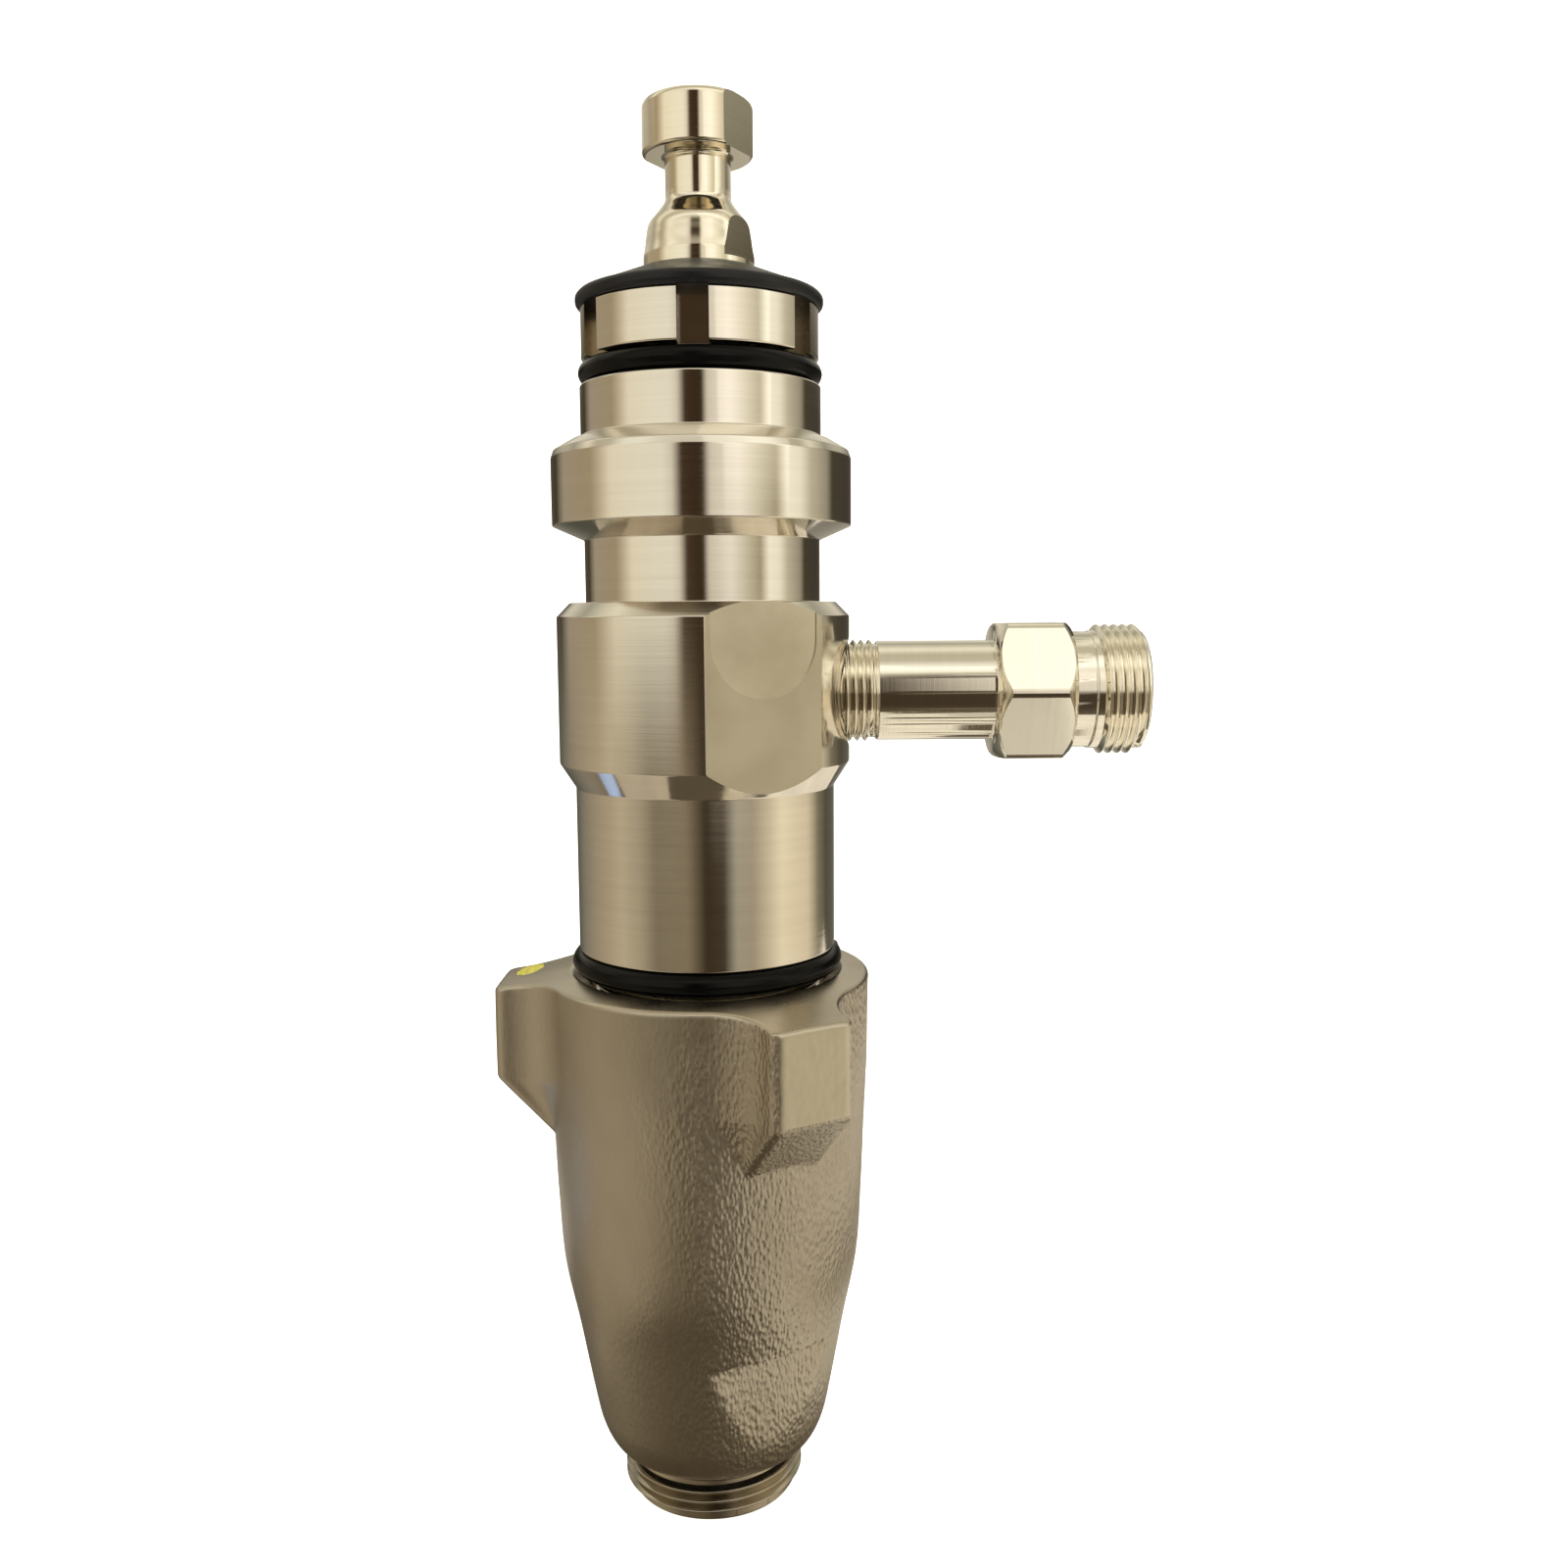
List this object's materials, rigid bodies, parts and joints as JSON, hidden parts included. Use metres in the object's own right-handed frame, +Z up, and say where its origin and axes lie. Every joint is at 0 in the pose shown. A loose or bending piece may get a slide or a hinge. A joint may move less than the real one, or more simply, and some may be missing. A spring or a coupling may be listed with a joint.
{
  "type": "airless sprayer displacement pump",
  "caption": "Vertical double-acting piston pump with a T-headed rod, slotted packing nut, clamping groove, side outlet nipple and lugged cast intake housing.",
  "frame": {"origin": "centre of the intake nipple's lower end, on the pump's axis", "axes": "+Z up the pump's axis towards the rod's T-shaped head, +X out along the outlet nipple, +Y away from the wrench flats' front"},
  "size_m": [0.1327, 0.0826, 0.2858],
  "materials": {
    "turned_stainless": "satin",
    "polished_rod": "polished",
    "cast_stainless": "satin",
    "black_plastic": "matte",
    "black_rubber": "satin",
    "carbide": "ground",
    "packing_leather": "oiled",
    "packing_plastic": "waxy"
  },
  "bodies": {
    "cylinder": {"pump_cylinder": "turned_stainless", "cylinder_sleeve": "polished_rod", "sleeve_o_ring": "black_rubber", "intake_housing": "cast_stainless", "housing_o_ring": "black_rubber", "intake_seat": "carbide", "intake_seat_o_ring": "black_rubber", "ball_guide": "turned_stainless", "throat_lower_gland": "turned_stainless", "throat_packing_1": "packing_plastic", "throat_packing_2": "packing_leather", "throat_packing_3": "packing_plastic", "throat_packing_4": "packing_leather", "throat_packing_5": "packing_plastic", "collar_o_ring": "black_rubber", "outlet_nipple": "turned_stainless"},
    "throat_gland": {"throat_upper_gland": "turned_stainless"},
    "packing_nut": {"packing_nut": "turned_stainless", "nut_cap": "black_plastic"},
    "rod": {"displacement_rod": "polished_rod", "piston_valve": "turned_stainless", "piston_seat": "carbide", "piston_lower_gland": "turned_stainless", "piston_packing_1": "packing_plastic", "piston_packing_2": "packing_leather", "piston_packing_3": "packing_plastic", "piston_packing_4": "packing_leather", "piston_upper_gland": "turned_stainless"},
    "piston_ball": {"piston_ball": "polished_rod"},
    "intake_ball": {"intake_ball": "polished_rod"}
  },
  "joints": [
    {"name": "rod_slide", "type": "slide", "parent": "cylinder", "child": "rod", "axis": [0, 0, 1], "range_m": [0, 0.046]},
    {"name": "piston_ball_lift", "type": "slide", "parent": "rod", "child": "piston_ball", "axis": [0, 0, 1], "range_m": [0, 0.003]},
    {"name": "intake_ball_lift", "type": "slide", "parent": "cylinder", "child": "intake_ball", "axis": [0, 0, 1], "range_m": [0, 0.0045]},
    {"name": "gland_follow", "type": "slide", "parent": "cylinder", "child": "throat_gland", "axis": [0, 0, 1], "range_m": [0, 0.0039]},
    {"name": "packing_nut_turn", "type": "hinge", "parent": "throat_gland", "child": "packing_nut", "pos_m": [0, 0, 0.2364], "axis": [0, 0, 1], "range_deg": [0, 936]}
  ],
  "couplings": [
    {"joint": "gland_follow", "follows": "packing_nut_turn", "m_per_rad": 0.00023873}
  ]
}
